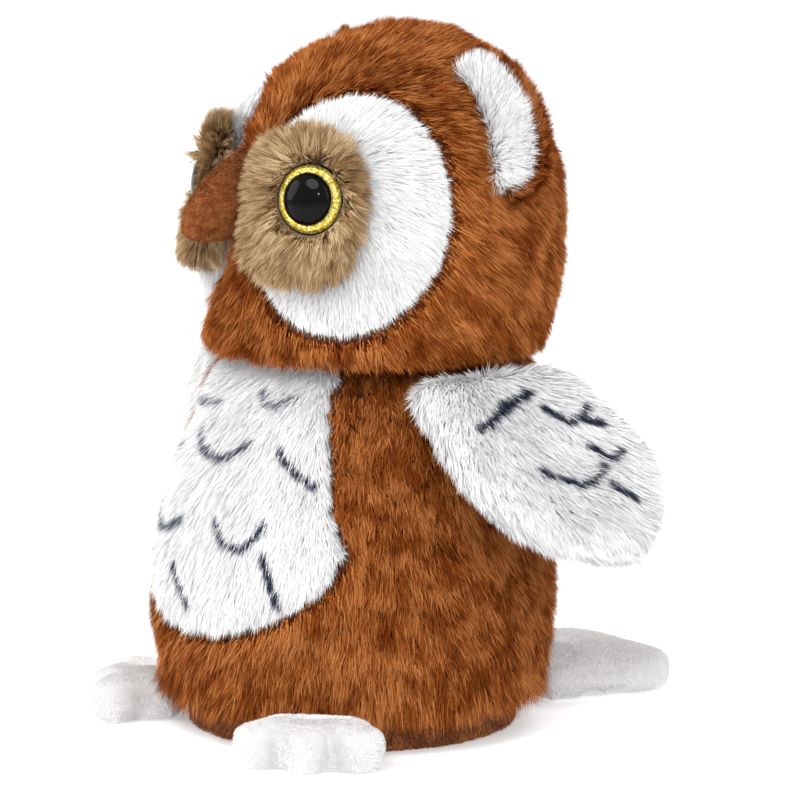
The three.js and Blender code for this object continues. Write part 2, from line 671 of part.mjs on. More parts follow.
// ---- Tail ----
function tailShape(inset) {
  const root = TAIL_ROOT_HALF - inset;
  const end = TAIL_END_HALF - inset;
  const long = TAIL_LENGTH - inset;
  const corner = TAIL_CORNER - inset;
  const shape = new THREE.Shape();
  shape.moveTo(-root, inset);
  shape.lineTo(root, inset);
  shape.lineTo(end, long - corner);
  shape.absarc(end - corner, long - corner, corner, 0, Math.PI / 2);
  shape.absarc(corner - end, long - corner, corner, Math.PI / 2, Math.PI);
  return new THREE.Shape(shape.getPoints(4));
}

function tailPieces() {
  const root = BASE_Y + HEM_RADIUS + TAIL_CLEARANCE;
  const place = new THREE.Matrix4().makeTranslation(0, root, 0);
  const under = prism(tailShape(TAIL_UNDER_INSET), 0, TAIL_PANEL);
  const top = solid(cushion(tailShape(0), TAIL_PANEL + GAP, TAIL_HEIGHT, TAIL_ROUND));
  const wall = TAIL_PANEL + TAIL_SEAM;
  const hollow = solid(prism(tailShape(wall), 0, TAIL_HEIGHT - TAIL_PANEL));
  const fill = prism(tailShape(wall + GAP), TAIL_PANEL + GAP, TAIL_HEIGHT - TAIL_PANEL - GAP);
  return [
    named("tail_top", geometryOf(top.subtract(hollow)).applyMatrix4(place), whitePlush),
    named("tail_stuffing", fill.applyMatrix4(place), stuffing),
    named("tail_under", under.applyMatrix4(place), whitePlush),
  ];
}

// ---- The puppet ----
const puppet = new THREE.Group();
puppet.add(...bodyPieces(), ...neckPieces(), ...headPieces(), ...tailPieces());
for (const side of ["left", "right"]) {
  const half = new THREE.Group();
  half.scale.x = side === "left" ? 1 : -1;
  half.add(...facePieces(side), ...eyePieces(side), ...earPieces(side));
  half.add(...wingPieces(side), ...footPieces(side));
  puppet.add(half);
}

// The origin is on the floor, midway between the toes and the tail's end.
const extent = new THREE.Box3().setFromObject(puppet);
puppet.position.y = -(extent.min.y + extent.max.y) / 2;

const part = new THREE.Group();
part.add(puppet);

export default part;
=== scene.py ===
# %% [markdown]
# # A furry owl hand puppet
#
# The puppet is a hollow body of fur fabric for the hand, a stuffed head on a cloth neck, two wings, two
# feet and a tail. The mechanical model gives every piece's place. This lesson dresses it: thin fabric
# backings are made from the plain solids, Geometry Nodes grow the pile on them, and the wings, the feet
# and the tail are puffed up as cloth.

# %% Load the frame
import json
import math

import bmesh
import bpy
import numpy as np
from mathutils import Matrix, Vector
from mathutils.bvhtree import BVHTree


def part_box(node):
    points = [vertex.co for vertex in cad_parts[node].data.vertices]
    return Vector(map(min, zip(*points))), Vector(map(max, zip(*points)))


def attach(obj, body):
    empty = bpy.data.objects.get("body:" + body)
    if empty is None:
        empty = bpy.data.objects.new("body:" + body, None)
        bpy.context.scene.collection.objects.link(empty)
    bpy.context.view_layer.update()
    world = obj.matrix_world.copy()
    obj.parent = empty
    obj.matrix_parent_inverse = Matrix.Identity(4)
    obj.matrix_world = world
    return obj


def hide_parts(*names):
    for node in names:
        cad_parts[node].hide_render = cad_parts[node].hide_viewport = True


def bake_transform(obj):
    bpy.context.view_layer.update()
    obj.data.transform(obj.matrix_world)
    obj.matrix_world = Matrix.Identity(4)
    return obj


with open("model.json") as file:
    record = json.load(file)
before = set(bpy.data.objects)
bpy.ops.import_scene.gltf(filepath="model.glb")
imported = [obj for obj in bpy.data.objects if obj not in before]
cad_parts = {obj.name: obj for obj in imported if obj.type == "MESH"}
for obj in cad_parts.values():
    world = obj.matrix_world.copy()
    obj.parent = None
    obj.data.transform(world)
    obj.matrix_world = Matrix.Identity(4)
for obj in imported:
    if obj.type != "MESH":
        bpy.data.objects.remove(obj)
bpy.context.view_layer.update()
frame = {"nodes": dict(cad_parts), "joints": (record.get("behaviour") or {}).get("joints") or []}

# %% [markdown]
# Every length is in metres. Boxes and joints of the mechanical model give the places that the rest of the
# lesson starts from.

# %% Sizes
MM = 0.001
WELD = 0.02 * MM  # points closer than this are one
SIDES = ("left", "right")
BODY_LOW, BODY_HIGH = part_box("body_skin")
HEAD_LOW, HEAD_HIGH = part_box("head_skin")
JOINTS = {joint["name"]: joint for joint in frame["joints"]}
NECK = Vector(JOINTS["head_nod"]["pos_m"])  # the point that the head turns and nods about
BODY_AXIS = Vector((0, (BODY_LOW.y + BODY_HIGH.y) / 2, 0))
HEAD_MIDDLE = Vector((0, NECK.y + 5 * MM, (HEAD_LOW.z + HEAD_HIGH.z) / 2))
print("neck at", [round(v, 4) for v in NECK])

# %% [markdown]
# Small helpers for meshes. A CAD node is loose triangles, so a copy of it is merged before anything else.
# The object of a finished piece stays at the origin, and its place is in its mesh.

# %% Mesh helpers
def new_piece(name, mesh):
    piece = bpy.data.objects.new(name, mesh)
    bpy.context.scene.collection.objects.link(piece)
    return piece


def from_bmesh(name, bm, smooth=True):
    mesh = bpy.data.meshes.new(name)
    bm.to_mesh(mesh)
    bm.free()
    mesh.polygons.foreach_set("use_smooth", [smooth] * len(mesh.polygons))
    return new_piece(name, mesh)


def merged_nodes(*names):
    """One bmesh of welded copies of CAD nodes."""
    bm = bmesh.new()
    for name in names:
        bm.from_mesh(frame["nodes"][name].data)
    bmesh.ops.remove_doubles(bm, verts=bm.verts, dist=WELD)
    return bm


def settled(piece):
    """Turns a piece with modifiers into a plain mesh."""
    graph = bpy.context.evaluated_depsgraph_get()
    shown = piece.evaluated_get(graph)
    mesh = bpy.data.meshes.new_from_object(shown, preserve_all_data_layers=True, depsgraph=graph)
    piece.modifiers.clear()
    piece.data = mesh
    return piece


def points_of(piece):
    flat = np.empty(len(piece.data.vertices) * 3)
    piece.data.vertices.foreach_get("co", flat)
    return flat.reshape(-1, 3)


def move_points(piece, points):
    piece.data.vertices.foreach_set("co", np.asarray(points, float).ravel())
    piece.data.update()


def normals_of(piece):
    flat = np.empty(len(piece.data.vertices) * 3)
    piece.data.vertex_normals.foreach_get("vector", flat)
    return flat.reshape(-1, 3)


def unit(vectors):
    length = np.linalg.norm(vectors, axis=-1, keepdims=True)
    return vectors / np.maximum(length, 1e-9)


def keep_values(piece, name, values, kind="FLOAT"):
    """Stores a number or a vector on each point of a piece."""
    attribute = piece.data.attributes.new(name, kind, "POINT")
    field = "vector" if kind == "FLOAT_VECTOR" else "value"
    attribute.data.foreach_set(field, np.asarray(values, np.float32).ravel())


# %% [markdown]
# ## Soft forms
#
# Fur fabric has no sharp facets. A voxel remesh wraps the welded solid in even small squares, and a little
# smoothing takes the facets away. Fine even squares are also what the cloth simulation and the fur need.

# %% Soft forms
def soft_form(name, nodes, voxel, smoothing=4):
    piece = from_bmesh(name, merged_nodes(*nodes))
    remesh = piece.modifiers.new("even", "REMESH")
    remesh.mode = "VOXEL"
    remesh.voxel_size = voxel
    remesh.adaptivity = 0
    smooth = piece.modifiers.new("soften", "SMOOTH")
    smooth.factor = 0.5
    smooth.iterations = smoothing
    settled(piece)
    piece.data.polygons.foreach_set("use_smooth", [True] * len(piece.data.polygons))
    return piece


# %% [markdown]
# Padded pieces, such as the wings, the feet and the tail, are two panels sewn together and stuffed.
# Blender's Cloth with a pressure inside swells the form the way stuffing does. How far a point may move is
# capped, and what lies on the floor stays flat.

# %% Stuffing by cloth simulation
CLOTH_FRAMES = 20
CLOTH_STIFFNESS = 25


def stuff(piece, pressure, cap, floor=None):
    rest = points_of(piece)
    cloth = piece.modifiers.new("stuffing", "CLOTH")
    cloth.settings.use_pressure = True
    cloth.settings.uniform_pressure_force = pressure
    cloth.settings.effector_weights.gravity = 0
    cloth.settings.quality = 6
    cloth.settings.tension_stiffness = CLOTH_STIFFNESS
    cloth.settings.compression_stiffness = CLOTH_STIFFNESS
    cloth.point_cache.frame_end = CLOTH_FRAMES
    for step in range(1, CLOTH_FRAMES + 1):
        bpy.context.scene.frame_set(step)
    settled(piece)
    bpy.context.scene.frame_set(1)
    moved = points_of(piece) - rest
    far = np.linalg.norm(moved, axis=1, keepdims=True)
    points = rest + moved * np.minimum(1, cap / np.maximum(far, 1e-9))
    if floor is not None:
        points[:, 2] = np.maximum(points[:, 2], floor)
    move_points(piece, points)
    print(piece.name, "swelled by up to", round(float(far.max()) * 1000, 1), "mm")
    return piece


# %% [markdown]
# ## Fibre materials
#
# A fibre is darkest at its root, where little light reaches, and lightest at its tip. So each pile has five
# plain tones, and a blade's lower and upper face pick theirs by height, by tuft and by patches on the skin.

# %% Material helpers
def link(tree, source, target):
    tree.links.new(source, target)


def new_material(name, roughness, **settings):
    material = bpy.data.materials.new(name)
    material.use_nodes = True
    shader = material.node_tree.nodes["Principled BSDF"]
    shader.inputs["Roughness"].default_value = roughness
    for socket, value in settings.items():
        shader.inputs[socket.replace("_", " ")].default_value = value
    return material, material.node_tree, shader


def colour_ramp(tree, factor, stops):
    ramp = tree.nodes.new("ShaderNodeValToRGB")
    elements = ramp.color_ramp.elements
    while len(elements) < len(stops):
        elements.new(0.5)
    for element, (place, colour) in zip(elements, stops):
        element.position = place
        element.color = (*colour, 1)
    link(tree, factor, ramp.inputs["Fac"])
    return ramp.outputs["Color"]


def math_node(tree, operation, first, second):
    made = tree.nodes.new("ShaderNodeMath")
    made.operation = operation
    for socket, value in zip(made.inputs, (first, second)):
        if isinstance(value, bpy.types.NodeSocket):
            link(tree, value, socket)
        else:
            socket.default_value = value
    return made.outputs[0]


def object_noise(tree, scale, detail=2.0):
    place = tree.nodes.new("ShaderNodeTexCoord")
    noise = tree.nodes.new("ShaderNodeTexNoise")
    noise.inputs["Scale"].default_value = scale
    noise.inputs["Detail"].default_value = detail
    link(tree, place.outputs["Object"], noise.inputs["Vector"])
    return noise.outputs["Fac"]


def fibres(name, *tones, roughness=0.7, specular=0.04):
    """The materials of a pile, one for each tone from its dark roots to its light tips."""
    made = []
    for i, tone in enumerate(tones):
        settings = {"Base_Color": (*tone, 1), "Specular_IOR_Level": specular}
        made.append(new_material(f"{name}_{i}", roughness, **settings)[0])
    return made


# %% [markdown]
# The colours are linear values. Brown fur goes from a dark chestnut root, painted shade, to a golden tip.
# The white fur has a faint grey painted at its roots as shade, and that is what makes single tufts
# readable.

# %% Fibre colours
BROWN_FIBRES = fibres(
    "brown_fibre",
    (0.045, 0.008, 0.002), (0.11, 0.021, 0.003), (0.195, 0.043, 0.006),
    (0.31, 0.083, 0.014), (0.52, 0.19, 0.055),
)
WHITE_FIBRES = fibres(
    "white_fibre",
    (0.66, 0.66, 0.69), (0.76, 0.76, 0.78), (0.83, 0.83, 0.84), (0.88, 0.88, 0.88), (0.93, 0.93, 0.93),
)
TAN_FIBRES = fibres(
    "tan_fibre",
    (0.1, 0.05, 0.019), (0.19, 0.105, 0.043), (0.3, 0.175, 0.077), (0.42, 0.27, 0.135), (0.61, 0.45, 0.27),
)
BEAK_FIBRES = fibres(
    "beak_fibre",
    (0.14, 0.035, 0.009), (0.23, 0.065, 0.018), (0.31, 0.095, 0.028),
    (0.39, 0.13, 0.042), (0.48, 0.18, 0.062),
)
PLUSH_FIBRES = fibres(
    "plush_fibre",
    (0.8, 0.79, 0.79), (0.85, 0.84, 0.84), (0.88, 0.87, 0.87), (0.91, 0.9, 0.9), (0.95, 0.94, 0.94),
)
FAINT_MARK, DARK_MARK = fibres("mark_fibre", (0.2, 0.21, 0.27), (0.03, 0.034, 0.058))


# %% [markdown]
# Under the pile is a knitted backing. A fine wave pattern in two directions gives its loops, as bumps and
# as colour: the colour is painted darker in the low places between the loops, as shade, and a noise adds
# random tone. It shows only where the pile parts, or from inside.

# %% Backing cloth
def knit(name, dark, light, scale=900.0, roughness=0.85):
    material, tree, shader = new_material(name, roughness, Sheen_Weight=0.15)
    place = tree.nodes.new("ShaderNodeTexCoord")
    heights = []
    for direction in ("Z", "DIAGONAL"):
        wave = tree.nodes.new("ShaderNodeTexWave")
        wave.bands_direction = direction
        wave.inputs["Scale"].default_value = scale
        link(tree, place.outputs["Object"], wave.inputs["Vector"])
        heights.append(wave.outputs["Fac"])
    weave = math_node(tree, "MULTIPLY", *heights)
    tone = math_node(tree, "ADD", weave, object_noise(tree, 60))
    # The loops' height sets the colour as well as the bump: painted shade in the hollows between them.
    link(tree, colour_ramp(tree, tone, [(0.3, dark), (1.1, light)]), shader.inputs["Base Color"])
    bump = tree.nodes.new("ShaderNodeBump")
    bump.inputs["Distance"].default_value = 0.2 * MM
    link(tree, weave, bump.inputs["Height"])
    link(tree, bump.outputs["Normal"], shader.inputs["Normal"])
    return material


# The backings under the pile are about as dark as the roots of their pile: painted shade beneath it.
BROWN_BACKING = knit("brown_backing", (0.05, 0.014, 0.005), (0.16, 0.05, 0.016))
WHITE_BACKING = knit("white_backing", (0.45, 0.45, 0.47), (0.75, 0.75, 0.77))
TAN_BACKING = knit("tan_backing", (0.1, 0.06, 0.03), (0.26, 0.17, 0.09))
LINING_CLOTH = knit("lining_cloth", (0.045, 0.022, 0.012), (0.13, 0.07, 0.04), 1400)
BEAK_CLOTH = knit("beak_cloth", (0.07, 0.02, 0.007), (0.2, 0.065, 0.022))
PLUSH_CLOTH = knit("plush_cloth", (0.7, 0.69, 0.69), (0.92, 0.91, 0.91))


# %% [markdown]
# ## Growing the pile
#
# A blade of fur is a kite of two triangles, bulged outwards where it is widest. Geometry Nodes scatter
# blades over a backing. Each blade lies along the combed direction, rises from the skin, and leans towards
# the tip of its tuft, so the pile gathers in locks.

# %% One blade
WIDEST = 0.4  # the share of a blade's length at which it is widest
BULGE = 0.12  # how far that widest place stands out, as a share of the length


def make_blade():
    bm = bmesh.new()
    root, tip = bm.verts.new((0, 0, 0)), bm.verts.new((0, 0, 1))
    left, right = (bm.verts.new((side / 2, BULGE, WIDEST)) for side in (-1, 1))
    bm.faces.new((root, left, right))
    bm.faces.new((left, tip, right))
    blade = from_bmesh("blade_pattern", bm)
    keep_values(blade, "along", [0, 1, WIDEST, WIDEST])
    return blade


BLADE = make_blade()

# %% [markdown]
# The tree reads three things that the backing carries on each point: out, the way the skin faces; comb,
# the way the pile is brushed; and pile, the share of the full length. It also takes lines, near which the
# pile is dyed.

# %% The fur tree
def node(tree, kind, inputs=None, **settings):
    made = tree.nodes.new(kind)
    for name, value in settings.items():
        setattr(made, name, value)
    for socket, value in (inputs or {}).items():
        if isinstance(value, bpy.types.NodeSocket):
            tree.links.new(value, made.inputs[socket])
        else:
            made.inputs[socket].default_value = value
    return made


def vector(tree, operation, first, second=None, scale=None):
    inputs = {0: first}
    if second is not None:
        inputs[1] = second
    if scale is not None:
        inputs["Scale"] = scale
    made = node(tree, "ShaderNodeVectorMath", inputs, operation=operation)
    return made.outputs["Value" if operation in ("LENGTH", "DISTANCE") else "Vector"]


def named(tree, name, kind="FLOAT"):
    made = node(tree, "GeometryNodeInputNamedAttribute", {"Name": name}, data_type=kind)
    return made.outputs["Attribute"]


TONES = len(BROWN_FIBRES)
FUR_INPUTS = [
    ("Blade", "NodeSocketObject"),
    ("Count per area", "NodeSocketFloat"),
    ("Length", "NodeSocketFloat"),
    ("Width", "NodeSocketFloat"),
    ("Rise", "NodeSocketFloat"),
    ("Swirl", "NodeSocketFloat"),
    ("Swirl size", "NodeSocketFloat"),
    ("Jitter", "NodeSocketFloat"),
    ("Tufts per area", "NodeSocketFloat"),
    ("Gather", "NodeSocketFloat"),
    ("Seed", "NodeSocketInt"),
    ("Patch size", "NodeSocketFloat"),
    ("Patchiness", "NodeSocketFloat"),
    ("Lines", "NodeSocketObject"),
    ("Line width", "NodeSocketFloat"),
    ("Faint dye", "NodeSocketMaterial"),
    ("Dark dye", "NodeSocketMaterial"),
] + [(f"Fibre {i}", "NodeSocketMaterial") for i in range(TONES)]


ROOT_TO_TIP = 1.2  # how much lighter a tip is than a root, in shares of the range of tones
TUFT_TONE = 0.8  # how much the tufts differ
FAINT_SPREAD = 1.5  # the faint dye reaches this many times as far as the dark dye
LEAST_PILE = 0.02  # where the share of full length is less, nothing grows
BLADES_PER_TUFT = 45
MARK_WIDTH = 1.15 * MM


def fur_tree():
    tree = bpy.data.node_groups.new("grow_pile", "GeometryNodeTree")
    tree.interface.new_socket(name="Backing", in_out="INPUT", socket_type="NodeSocketGeometry")
    for name, kind in FUR_INPUTS:
        tree.interface.new_socket(name=name, in_out="INPUT", socket_type=kind)
    tree.interface.new_socket(name="Pile", in_out="OUTPUT", socket_type="NodeSocketGeometry")
    given = tree.nodes.new("NodeGroupInput").outputs
    pile = named(tree, "pile")
    grows = math_node(tree, "GREATER_THAN", pile, LEAST_PILE)

    def scattered(density, seed):
        inputs = {"Mesh": given["Backing"], "Selection": grows, "Density": density, "Seed": seed}
        return node(tree, "GeometryNodeDistributePointsOnFaces", inputs).outputs["Points"]

    def way(place, seed):
        """The direction of a fibre: combed, risen, swirled and a little random."""
        combed = named(tree, "comb", "FLOAT_VECTOR")
        risen = vector(tree, "SCALE", named(tree, "out", "FLOAT_VECTOR"), scale=given["Rise"])
        noise_inputs = {"Vector": place, "Scale": given["Swirl size"], "Detail": 1.5}
        noise = node(tree, "ShaderNodeTexNoise", noise_inputs)
        swirl = vector(tree, "SUBTRACT", noise.outputs["Color"], (0.5, 0.5, 0.5))
        swirl = vector(tree, "SCALE", swirl, scale=given["Swirl"])
        chance = node(tree, "FunctionNodeRandomValue", data_type="FLOAT_VECTOR")
        chance.inputs[0].default_value = (-1, -1, -1)
        chance.inputs[1].default_value = (1, 1, 1)
        chance.inputs["Seed"].default_value = seed
        jitter = vector(tree, "SCALE", chance.outputs[0], scale=given["Jitter"])
        steady = vector(tree, "ADD", combed, risen)
        loose = vector(tree, "ADD", swirl, jitter)
        return vector(tree, "NORMALIZE", vector(tree, "ADD", steady, loose))

    place = node(tree, "GeometryNodeInputPosition").outputs[0]
    tufts = scattered(given["Tufts per area"], math_node(tree, "ADD", given["Seed"], 7))
    reach = math_node(tree, "MULTIPLY", given["Length"], pile)
    tuft_tip = vector(tree, "ADD", place, vector(tree, "SCALE", way(place, 3), scale=reach))
    points = scattered(given["Count per area"], given["Seed"])
    nearest = node(tree, "GeometryNodeSampleNearest", {0: tufts, 1: place}).outputs[0]
    target = node(tree, "GeometryNodeSampleIndex", data_type="FLOAT_VECTOR")
    tree.links.new(tufts, target.inputs["Geometry"])
    tree.links.new(tuft_tip, target.inputs["Value"])
    tree.links.new(nearest, target.inputs["Index"])
    to_tip = vector(tree, "NORMALIZE", vector(tree, "SUBTRACT", target.outputs[0], place))
    own = way(place, 5)
    mixed = node(tree, "ShaderNodeMix", data_type="VECTOR")
    tree.links.new(given["Gather"], mixed.inputs[0])
    tree.links.new(own, mixed.inputs[4])
    tree.links.new(to_tip, mixed.inputs[5])
    lie = vector(tree, "NORMALIZE", mixed.outputs[1])

    def chance(low, high, seed, id_socket=None):
        made = node(tree, "FunctionNodeRandomValue", data_type="FLOAT")
        made.inputs[2].default_value = low
        made.inputs[3].default_value = high
        made.inputs["Seed"].default_value = seed
        if id_socket is not None:
            tree.links.new(id_socket, made.inputs["ID"])
        return made.outputs[1]

    length = math_node(tree, "MULTIPLY", reach, chance(0.7, 1.15, 11))
    shade = math_node(tree, "ADD", chance(0, 0.5, 13), chance(0, 0.5, 17, nearest))
    flow = points
    stored = (("shade", "FLOAT", shade), ("lie", "FLOAT_VECTOR", lie), ("grown", "FLOAT", length))
    for name, kind, value in stored:
        inputs = {"Geometry": flow, "Name": name}
        store = node(tree, "GeometryNodeStoreNamedAttribute", inputs, data_type=kind, domain="POINT")
        tree.links.new(value, store.inputs["Value"])
        flow = store.outputs[0]
    turn = node(tree, "FunctionNodeAxesToRotation", primary_axis="Z", secondary_axis="Y")
    tree.links.new(named(tree, "lie", "FLOAT_VECTOR"), turn.inputs[0])
    tree.links.new(named(tree, "out", "FLOAT_VECTOR"), turn.inputs[1])
    twist = node(tree, "FunctionNodeAxisAngleToRotation", {"Axis": (0, 0, 1)})
    tree.links.new(chance(-0.7, 0.7, 23), twist.inputs["Angle"])
    turned = node(tree, "FunctionNodeRotateRotation", rotation_space="LOCAL")
    tree.links.new(turn.outputs[0], turned.inputs[0])
    tree.links.new(twist.outputs[0], turned.inputs[1])
    size = node(tree, "ShaderNodeCombineXYZ")
    tree.links.new(math_node(tree, "MULTIPLY", given["Width"], chance(0.7, 1.25, 29)), size.inputs[0])
    grown = named(tree, "grown")
    tree.links.new(grown, size.inputs[1])
    tree.links.new(grown, size.inputs[2])
    blade = node(tree, "GeometryNodeObjectInfo", {"Object": given["Blade"]}).outputs["Geometry"]
    placed = node(tree, "GeometryNodeInstanceOnPoints", {"Points": flow, "Instance": blade})
    tree.links.new(turned.outputs[0], placed.inputs["Rotation"])
    tree.links.new(size.outputs[0], placed.inputs["Scale"])
    whole = node(tree, "GeometryNodeRealizeInstances", {0: placed.outputs[0]}).outputs[0]
    patch_inputs = {"Vector": place, "Scale": given["Patch size"], "Detail": 2.0}
    patches = node(tree, "ShaderNodeTexNoise", patch_inputs).outputs["Fac"]
    patch = math_node(tree, "MULTIPLY", math_node(tree, "SUBTRACT", patches, 0.5), given["Patchiness"])
    # A blade's root face takes darker tones than its tip face: painted shade, the pile's shadow on itself.
    height = math_node(tree, "MULTIPLY", named(tree, "along"), ROOT_TO_TIP)
    own = math_node(tree, "MULTIPLY", math_node(tree, "SUBTRACT", named(tree, "shade"), 0.5), TUFT_TONE)
    tone = math_node(tree, "ADD", math_node(tree, "ADD", height, own), patch)
    for i in range(TONES):
        above = math_node(tree, "GREATER_THAN", tone, i / TONES if i else -9.0)
        inputs = {"Geometry": whole, "Selection": above, "Material": given[f"Fibre {i}"]}
        whole = node(tree, "GeometryNodeSetMaterial", inputs).outputs[0]
    lines = node(tree, "GeometryNodeObjectInfo", {"Object": given["Lines"]}).outputs["Geometry"]
    near_inputs = {0: lines, "Sample Position": place}
    near = node(tree, "GeometryNodeProximity", near_inputs, target_element="EDGES").outputs["Distance"]
    uneven = math_node(tree, "ADD", named(tree, "shade"), 0.4)
    ragged = math_node(tree, "MULTIPLY", given["Line width"], uneven)
    for dye, spread in (("Faint dye", FAINT_SPREAD), ("Dark dye", 1.0)):
        dyed = math_node(tree, "LESS_THAN", near, math_node(tree, "MULTIPLY", ragged, spread))
        inputs = {"Geometry": whole, "Selection": dyed, "Material": given[dye]}
        whole = node(tree, "GeometryNodeSetMaterial", inputs).outputs[0]
    tree.links.new(whole, tree.nodes.new("NodeGroupOutput").inputs[0])
    return tree


FUR = fur_tree()
FUR_SOCKET = {item.name: item.identifier for item in FUR.interface.items_tree if item.in_out == "INPUT"}
NO_LINES = new_piece("no_lines", bpy.data.meshes.new("no_lines"))


def outside_area(piece):
    """The area of a backing that carries pile."""
    grows = np.empty(len(piece.data.vertices), np.float32)
    piece.data.attributes["pile"].data.foreach_get("value", grows)
    return sum(face.area for face in piece.data.polygons if grows[face.vertices[0]] > LEAST_PILE)


def grow(name, backing, count, length, width, fibre_set, lines=None, **choices):
    """Grows count blades on a backing and returns them as one plain mesh."""
    furry = new_piece(name, backing.data)
    modifier = furry.modifiers.new("pile", "NODES")
    modifier.node_group = FUR
    area = outside_area(backing)
    values = {
        "Blade": BLADE, "Count per area": count / area, "Length": length, "Width": width, "Rise": 0.75,
        "Swirl": 1.2, "Swirl size": 75.0, "Jitter": 0.3, "Gather": 0.32,
        "Tufts per area": count / area / BLADES_PER_TUFT, "Seed": sum(map(ord, name)),
        "Patch size": 80.0, "Patchiness": 0.9, "Lines": lines or NO_LINES,
        "Line width": MARK_WIDTH if lines else -1.0, "Faint dye": FAINT_MARK, "Dark dye": DARK_MARK,
    }
    values.update({f"Fibre {i}": tone for i, tone in enumerate(fibre_set)})
    values.update({key.replace("_", " ").capitalize(): value for key, value in choices.items()})
    for key, value in values.items():
        modifier[FUR_SOCKET[key]] = value
    settled(furry)
    for spare in ("out", "comb", "pile", "lie", "grown", "shade", "along"):
        found = furry.data.attributes.get(spare)
        if found:
            furry.data.attributes.remove(found)
    print(name, "has", len(furry.data.polygons), "triangles on", round(area * 1e4), "square cm")
    return furry


MOST_BLADES = 90000  # in one piece, which then stays under 200,000 triangles


def coat(name, backing, place, slot, count, *pile, **choices):
    """Grows a coat in as many pieces as it needs. place gives each piece its body."""
    layers = math.ceil(count / MOST_BLADES)
    for i in range(layers):
        fur = grow(f"{name}_{i + 1}", backing, count // layers, *pile, **choices)
        place(fur)


def rides(body):
    return lambda piece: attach(piece, body)


# %% [markdown]
# ## Brushing
#
# The way the pile lies is worked out for each point of a backing. It runs away from a source, such as the
# beak on the head, and it hangs. What points along the skin's own normal is taken away.

# %% Brushing helper
def brush(piece, outer, source=None, spread=1.0, hang=1.0, share=None):
    """Stores out, comb and pile on a backing. outer is true where pile grows."""
    points, out = points_of(piece), normals_of(piece)
    way = np.zeros_like(points) + np.array((0, 0, -hang))
    if source is not None:
        way = way + spread * unit(points - np.array(source))
    way = way - out * np.sum(way * out, axis=1, keepdims=True)
    keep_values(piece, "out", out, "FLOAT_VECTOR")
    keep_values(piece, "comb", unit(way), "FLOAT_VECTOR")
    length = np.where(outer, 1.0, 0.0) * (1.0 if share is None else share)
    keep_values(piece, "pile", length)


def facing_out(piece, centre, flat_z=False):
    """How far each point's normal turns away from a centre: 1 straight out, -1 straight in."""
    away = points_of(piece) - np.array(centre)
    if flat_z:
        away[:, 2] = 0
    return np.sum(unit(away) * normals_of(piece), axis=1)


def ramp(values, start, end):
    """0 before start, 1 past end, and smooth between."""
    t = np.clip((values - start) / (end - start), 0, 1)
    return t * t * (3 - 2 * t)


def short_at_edge(piece, keep=0.7, width=0.3):
    """The share of full length over a panel: it falls to keep at the panel's outline."""
    points = points_of(piece)
    away = points - (points.min(axis=0) + points.max(axis=0)) / 2
    across, up = np.hypot(away[:, 0], away[:, 1]), np.abs(away[:, 2])
    round_the_middle = np.hypot(across / across.max(), up / up.max())
    return 1 - (1 - keep) * ramp(round_the_middle, 1 - width, 1)


def sink(piece, outer, depth):
    """Moves the outer wall of a fabric shell in: it gets as thin as cloth and leaves room for pile."""
    step = np.asarray(outer, float) * depth
    move_points(piece, points_of(piece) - normals_of(piece) * step[:, None])


# %% [markdown]
# ## The body
#
# The body is a bell of brown fur fabric with a white belly set into it. Its pile hangs straight down and
# comes over the hem. The top of the bell goes up inside the head, where no pile shows.

# %% Body and belly
FABRIC_SINK = 2.2 * MM  # the skin's outer wall goes in by this, and the pile fills the space
COLLAR_Z = NECK.z + 50 * MM  # above it the head covers the shoulders
SKIRT_Z = BODY_LOW.z + 16 * MM  # below it the pile gets longer and hides the hem
SKIRT = 0.45  # how much longer it gets
COLLAR_FADE = 6 * MM  # over this height the pile shortens to nothing at the collar
SHELL_MIDDLE = NECK - Vector((0, 0, 40 * MM))  # the outside of the skin faces away from here
BROWN_PILE = (8 * MM, 0.38 * MM)  # length and width of a blade
WHITE_PILE = (7.5 * MM, 0.34 * MM)


def body_backing(name, node_name, material):
    piece = soft_form(name, [node_name], 2.5 * MM)
    outer = facing_out(piece, SHELL_MIDDLE) > 0.45
    sink(piece, outer, FABRIC_SINK)
    points = points_of(piece)
    lower = np.clip((COLLAR_Z - points[:, 2]) / COLLAR_FADE, 0, 1)
    skirt = 1 + SKIRT * ramp(-points[:, 2], -SKIRT_Z, -BODY_LOW.z)
    brush(piece, outer, hang=1.0, share=lower * skirt)
    piece.data.materials.append(material)
    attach(piece, "body")
    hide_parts(node_name)
    return piece


body_cloth = body_backing("body_cloth", "body_skin", BROWN_BACKING)
belly_cloth = body_backing("belly_cloth", "belly_panel", WHITE_BACKING)


def surface(piece):
    """Returns a function that finds where a ray, from a point along a direction, meets a piece."""
    mesh = piece.data
    tree = BVHTree.FromPolygons([v.co for v in mesh.vertices], [tuple(f.vertices) for f in mesh.polygons])

    def touch(start, direction):
        return tree.ray_cast(Vector(start), Vector(direction).normalized())[0]

    return touch


# %% [markdown]
# Dark strokes are dyed on the tips of the belly's pile, like the marks of feathers. Each is a shallow
# smile. Its place is an angle round the body and a height, and its ends are higher than its middle. They
# stand in rows, and every other row is shifted.

# %% Belly marks
STROKE_STEPS = 8
MARK_RISE = 2.5 * MM  # a stroke runs this far above the fabric, among the tips of the pile
STROKE_LIFT = 3 * MM  # every stroke sits this much above its given height


def stroke(middle_angle, height, half_angle, sag, slant=0.0):
    """Points of a smile: (angle in degrees, height in metres) from one end to the other."""
    for i in range(STROKE_STEPS + 1):
        t = 2 * i / STROKE_STEPS - 1
        yield middle_angle + t * half_angle, height - sag * (1 - t * t) - slant * t


